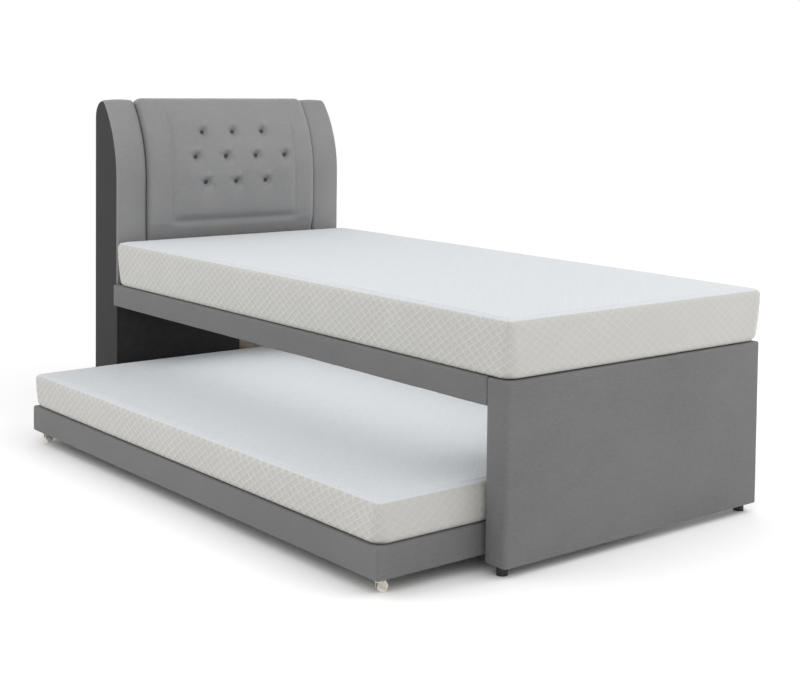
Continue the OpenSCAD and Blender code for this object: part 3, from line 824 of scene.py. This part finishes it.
def head_cushion(name, node, relief, step, skin, over_lo=0.0, over_hi=0.0, hem=0.0):
    """Closed cushion over the headboard's front, skin thick.

    relief(x, z, y) lifts its face off the profile. It is wider than its node by over_lo and
    over_hi, and lower by hem.
    """
    lo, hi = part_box(node)
    line = head_profile(lo.y, lo.z - hem, hi.z, hi.y, step)
    ahead = np.gradient(line, axis=0)
    ahead /= np.linalg.norm(ahead, axis=1)[:, None]
    out = np.column_stack([-ahead[:, 1], ahead[:, 0]])
    xs = np.linspace(lo.x - over_lo, hi.x + over_hi, round((hi.x - lo.x) / step) + 1)
    grid_x, grid_y = np.meshgrid(xs, line[:, 0], indexing="ij")
    grid_z = np.meshgrid(xs, line[:, 1], indexing="ij")[1]
    lift = relief(grid_x, grid_z, grid_y)
    outer = np.stack([grid_x, grid_y + lift * out[:, 0], grid_z + lift * out[:, 1]], -1)
    under = -np.full_like(lift, skin)
    under = np.minimum(under, lift - 0.001)
    inner = np.stack([grid_x, grid_y + under * out[:, 0], grid_z + under * out[:, 1]], -1)
    return closed_sheet(name, outer, inner, [satin_painted_light])


def fillet(distance, radius):
    """How far a rounded edge of that radius falls back, at a distance from the edge."""
    past = np.clip(radius - distance, 0, radius)
    return radius - np.sqrt(radius**2 - past**2)


def button_places():
    """Middle of each button's solid, from the frame."""
    points = np.array([v.co for v in frame["nodes"]["hb_buttons"].data.vertices])
    groups = []
    for point in points:
        own = [g for g in groups if np.linalg.norm(np.mean(g, 0) - point) < BUTTON_APART]
        if own:
            own[0].append(point)
        else:
            groups.append([point])
    return [np.mean(g, 0) for g in groups]


def folded(side, z, front):
    """Lift of the middle cushion's panel over its border, and the sewn folds between them.

    side is the distance from the cushion's nearer side, and front is 1 on its front.
    """
    above = 1 / (1 + np.exp(-(z - FOLD_Z - 0.012) / 0.010))
    inside = 1 / (1 + np.exp(-(side - FOLD_IN) / 0.009))
    over_top = np.clip((z - 0.950) / 0.090, 0, 1) ** 1.5
    lift = PANEL_LIFT * above * inside * (1 - over_top)
    lift += BORDER_SWELL * bell(side - FOLD_IN / 2, 0.035) * above * (1 - over_top)
    lift -= UPRIGHT_FOLD * bell(side - FOLD_IN, 0.008) * above * (1 - over_top)
    lift -= LEVEL_FOLD * bell(z - FOLD_Z, 0.013) * inside * front
    lift -= LOW_DROP * np.clip((FOLD_Z - 0.005 - z) / 0.06, 0, 1)
    return lift


def tufted(lift, x, z, front, places):
    """The lift drawn in at each button, with a hollow, pleats and a small swell around it."""
    hold = np.zeros_like(x)
    for place in places:
        dx, dz = x - place[0], z - place[2]
        away = np.hypot(dx, dz)
        steep = np.where(dz > 0, 1.7, 1.0)
        hold = np.maximum(hold, front * bell(np.hypot(dx * 1.15, dz * steep), 0.016))
        lift -= front * BUTTON_HOLLOW * bell(np.hypot(dx, dz + 0.014), 0.034)
        lift += front * PLEAT * np.cos(5 * np.arctan2(dz, dx)) * bell(away - 0.022, 0.013)
        lift += front * BUTTON_SWELL * bell(dx, 0.014) * bell(dz - 0.020, 0.011)
    return lift * (1 - hold) - BUTTON_DEPTH * hold


def middle_cushion():
    """The tufted middle cushion, with its upright folds and the fold across."""
    lo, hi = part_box("hb_pad")
    places = button_places()

    def relief(x, z, y):
        side = np.minimum(x - lo.x, hi.x - x)
        lift = folded(side, z, y < lo.y + 0.1)
        lift = tufted(lift, x, z, (y < lo.y + 0.12) * 1.0, places)
        spots = np.stack([x, z, y], -1).reshape(-1, 3)
        lift += 0.0008 * ripple(spots, 0.16, 11).reshape(x.shape)
        return lift - fillet(side, PAD_EDGE)

    piece = head_cushion("headboard_middle_cushion", "hb_pad", relief, PAD_STEP, PAD_SKIN)
    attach(piece, "bed")
    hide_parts("hb_pad")


def wing_cushion(side):
    """A wing's cushion: gently crowned across, tucked in along the middle cushion."""
    node = "hb_wing_" + side
    lo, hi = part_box(node)
    inner_x = hi.x if side == "near" else lo.x
    over_lo, over_hi = (OVERLAP, 0.0) if side == "near" else (0.0, OVERLAP)

    def relief(x, z, y):
        from_inner = np.abs(x - inner_x)
        from_outer = hi.x - lo.x + OVERLAP - from_inner
        crown = WING_CROWN * np.sin(math.pi * np.clip(from_inner / (hi.x - lo.x), 0, 1))
        spots = np.stack([x, z, y], -1).reshape(-1, 3)
        waves = 0.0006 * ripple(spots, 0.15, 17).reshape(x.shape)
        return crown + waves - fillet(from_inner, WING_EDGE) - fillet(from_outer, 0.004)

    piece = head_cushion(
        "headboard_wing_" + side, node, relief, WING_STEP, WING_SKIN, over_lo, over_hi, WING_HEM
    )
    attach(piece, "bed")
    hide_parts(node)


def side_panel(side):
    """The cloth of one side of the headboard, darkened as painted shade, its edge tucked under the
    wing's cloth.
    """
    node = "hb_side_" + side
    lo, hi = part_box(node)
    low_x = lo.x if side == "near" else lo.x - CLOTH
    high_x = hi.x + CLOTH if side == "near" else hi.x
    wing_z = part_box("hb_wing_" + side)[0].z
    curve = head_profile(lo.y + TUCK, wing_z, hi.z - TUCK, hi.y)
    outline = [(lo.y - CLOTH, lo.z), (lo.y - CLOTH, wing_z), *curve, (hi.y, lo.z)]
    count = len(outline)
    points = [(x, y, z) for x in (low_x, high_x) for y, z in outline]
    low_face = list(range(count))
    high_face = [i + count for i in low_face]
    faces = [low_face, high_face[::-1]]
    for i in low_face:
        after = (i + 1) % count
        faces.append([i, i + count, after + count, after])
    piece = make_object("headboard_side_" + side, points, faces, [crepe_painted_shade], smooth=False)
    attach(piece, "bed")
    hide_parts(node)


def button_dome(place):
    """Points of one domed button: rings from its middle outwards, then one behind it."""
    lean = math.asin(max(place[2] - CURVE_Z, 0) / CURVE_R * 0.95)
    out = np.array([0, -math.cos(lean), math.sin(lean)])
    up = np.array([0, math.sin(lean), math.cos(lean)])
    across = np.array([1.0, 0, 0])
    angles = [i / BUTTON_SIDES * 2 * math.pi for i in range(BUTTON_SIDES)]
    around = [across * math.cos(angle) + up * math.sin(angle) for angle in angles]
    points = []
    for ring in range(BUTTON_RINGS + 1):
        turn = ring / BUTTON_RINGS * math.pi / 2
        reach = BUTTON_R * math.sin(max(turn, 0.04))
        height = BUTTON_DOME * math.cos(turn) - 0.0012
        points += [place + reach * flat + height * out for flat in around]
    points += [place + BUTTON_R * 0.8 * flat - 0.004 * out for flat in around]
    return points


def button_faces(start):
    """Faces of one domed button, whose points begin at start."""
    faces = []
    for ring in range(BUTTON_RINGS + 1):
        for i in range(BUTTON_SIDES):
            a = start + ring * BUTTON_SIDES + i
            b = start + ring * BUTTON_SIDES + (i + 1) % BUTTON_SIDES
            faces.append([a, a + BUTTON_SIDES, b + BUTTON_SIDES, b])
    last = start + (BUTTON_RINGS + 1) * BUTTON_SIDES
    faces.append([start + i for i in range(BUTTON_SIDES)])
    faces.append([last + i for i in range(BUTTON_SIDES)][::-1])
    return faces


def domed_buttons():
    """Cloth-covered buttons, domed over the CAD discs."""
    points, faces = [], []
    for place in button_places():
        faces += button_faces(len(points))
        points += button_dome(place)
    piece = make_object("headboard_buttons", points, faces, [FINISHES["button"]])
    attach(piece, "bed")
    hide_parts("hb_buttons")


# ---------- covers of the base, footboard and trundle ----------


def covered_block(name, node, edge, lo_shift, hi_shift, seed, corner=0.0):
    """A board of the bed wrapped in padded cloth, in the room of its CAD cover.

    lo_shift and hi_shift move its lowest and highest corners from the cover's.
    """
    lo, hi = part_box(node)
    lo = np.array(lo) + np.array(lo_shift)
    hi = np.array(hi) + np.array(hi_shift)
    piece = soft_box(name, lo, hi, SOFT_STEP, edge, [crepe_grey], corner)

    def puff(points, normals):
        room = np.minimum(points - lo, hi - points)
        flat = np.sort(room, 1)[:, 1]
        return 0.0008 * (1 - bell(flat, 0.03)) + 0.0004 * ripple(points, 0.13, seed) - 0.0006

    displace(piece, puff)
    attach(piece, "bed")
    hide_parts(node)


def trundle_wrap():
    """One length of cloth around the trundle's frame, with rounded corners and turned edges."""
    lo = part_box("tr_cover_near")[0]
    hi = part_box("tr_cover_far")[1]
    low, high = lo.z - 0.0005, hi.z + 0.0006
    outline = face_outline(low, high, WRAP_EDGE, 4, 16)
    outline.append((-WRAP_LIP, high))
    outline.append((-WRAP_LIP, high - 0.003))
    outline.append((-WRAP_THICK, high - 0.006))
    outline.append((-WRAP_THICK, low + 0.006))
    outline.append((-WRAP_HEM, low + 0.003))
    outline.append((-WRAP_HEM, low))
    rounded = [(o, z, max(WRAP_CORNER, 0.002 - o)) for o, z in outline]
    piece = swept_band("trundle_wrap", lo, hi, rounded, WRAP_STEP, [crepe_grey])

    def puff(points, normals):
        upright = np.clip(1 - np.abs(normals[:, 2]) * 1.2, 0, 1)
        height = np.sin(math.pi * np.clip((points[:, 2] - low) / (high - low), 0, 1))
        return upright * (0.0006 * height + 0.0004 * ripple(points, 0.12, 23))

    displace(piece, puff)
    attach(piece, "trundle")
    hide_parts("tr_cover_near", "tr_cover_far", "tr_cover_ends")


# ---------- CAD nodes that stay ----------

# Bevel widths by material slot
BEVELS = {
    "side_upholstery": 0.0018,
    "timber": 0.0015,
    "plywood": 0.0008,
    "zinc": 0.0004,
    "steel": 0.0006,
    "caster_plastic": 0.0008,
    "glide_plastic": 0.0015,
    "lining": 0.0004,
    "upholstery": 0.0015,
}


def ease_edges(obj, width):
    """Adds a small bevel to an object's sharp edges."""
    weld = obj.modifiers.new("weld", "WELD")
    weld.merge_threshold = 0.00001
    bevel = obj.modifiers.new("edges", "BEVEL")
    bevel.width = width
    bevel.segments = 2
    bevel.limit_method = "ANGLE"
    bevel.angle_limit = math.radians(40)
    bevel.harden_normals = True
    obj.data.shade_smooth()


def finish_cad_nodes():
    """Materials on the CAD nodes, and bevels on those that show."""
    for part in frame["record"]["subparts"]:
        obj = frame["nodes"][part["node"]]
        slot = part["material_slot"]
        obj.data.materials.clear()
        obj.data.materials.append(FINISHES[slot])
        if slot in BEVELS and not obj.hide_render:
            ease_edges(obj, BEVELS[slot])


# ---------- stage, lights and camera ----------


def studio():
    """Pale floor, white surroundings, large soft lights, and one more in the trundle's bay."""
    floor = make_object(
        "studio_floor",
        [(-40, -40, 0), (40, -40, 0), (40, 40, 0), (-40, 40, 0)],
        [(0, 1, 2, 3)],
        [pale_floor()],
        smooth=False,
    )
    world = bpy.data.worlds.new("studio")
    world.use_nodes = True
    background = world.node_tree.nodes["Background"]
    background.inputs["Color"].default_value = (1.0, 1.0, 1.0, 1)
    background.inputs["Strength"].default_value = 1.04
    bpy.context.scene.world = world
    # name, place, aim, width, watts and, where it isn't square, length
    soft_light("key", (1.2, -3.4, 3.0), (0.1, 0.1, 0.6), 2.4, 30)
    soft_light("sheen", (2.6, -2.0, 2.7), (0.1, 0.9, 0.8), 1.6, 16)
    soft_light("near_side", (-1.9, 0.1, 1.95), (-0.35, 0.0, 0.2), 1.4, 10, 1.8)
    soft_light("under_bed", (0.05, -0.05, 0.375), (0.05, -0.05, 0.2), 0.55, 3.3, 1.5)


def soft_light(name, place, aim, width, power, length=None):
    """A wide area light, square unless it's given a length."""
    data = bpy.data.lights.new(name, "AREA")
    data.shape = "RECTANGLE"
    data.size = width
    data.size_y = length or width
    data.energy = power
    lamp = bpy.data.objects.new(name, data)
    lamp.location = place
    turn = (Vector(aim) - Vector(place)).to_track_quat("-Z", "Y")
    lamp.rotation_euler = turn.to_euler()
    bpy.context.scene.collection.objects.link(lamp)


def camera():
    """The camera, low and to the near side of the foot, with its lens shifted down."""
    azimuth = math.radians(CAMERA_AZIMUTH)
    elevation = math.radians(CAMERA_ELEVATION)
    roll = math.radians(CAMERA_ROLL)
    level = math.cos(elevation)
    back = Vector(
        (math.sin(azimuth) * level, -math.cos(azimuth) * level, math.sin(elevation))
    )
    right = (-back).cross(Vector((0, 0, 1))).normalized()
    up = right.cross(-back)
    turned_right = math.cos(roll) * right + math.sin(roll) * up
    turned_up = -math.sin(roll) * right + math.cos(roll) * up
    data = bpy.data.cameras.new("camera")
    data.sensor_width = 36
    data.lens = CAMERA_LENS
    data.shift_x, data.shift_y = CAMERA_SHIFT
    data.clip_start, data.clip_end = 0.1, 100
    obj = bpy.data.objects.new("camera", data)
    turn = Matrix((turned_right, turned_up, back)).transposed()
    obj.matrix_world = Matrix.Translation(CAMERA_AT) @ turn.to_4x4()
    bpy.context.scene.collection.objects.link(obj)
    bpy.context.scene.camera = obj


# ---------- the object ----------

camera()
studio()

mattress("mattress", "mattress_panels", "mattress_border", "mattress_core", "bed")
mattress(
    "trundle_mattress", "tr_mattress_panels", "tr_mattress_border", "tr_mattress_core", "trundle"
)
middle_cushion()
wing_cushion("near")
wing_cushion("far")
side_panel("near")
side_panel("far")
domed_buttons()
# name, node, edge, shifts of the lowest and highest corners, seed and, if any, corner radius
covered_block("footboard_cover", "fb_cover", 0.004, (0, 0, -0.001), (0, -0.001, -0.001), 31, 0.010)
covered_block("near_rail_cover", "rail_cover_near", 0.005, (0, -CLOTH, 0), (-0.001, CLOTH, 0), 37)
covered_block("far_rail_cover", "rail_cover_far", 0.005, (0.001, -CLOTH, 0), (0, CLOTH, 0), 41)
trundle_wrap()
finish_cad_nodes()

scene = bpy.context.scene
scene.view_settings.view_transform = "Standard"
scene.view_settings.look = "None"
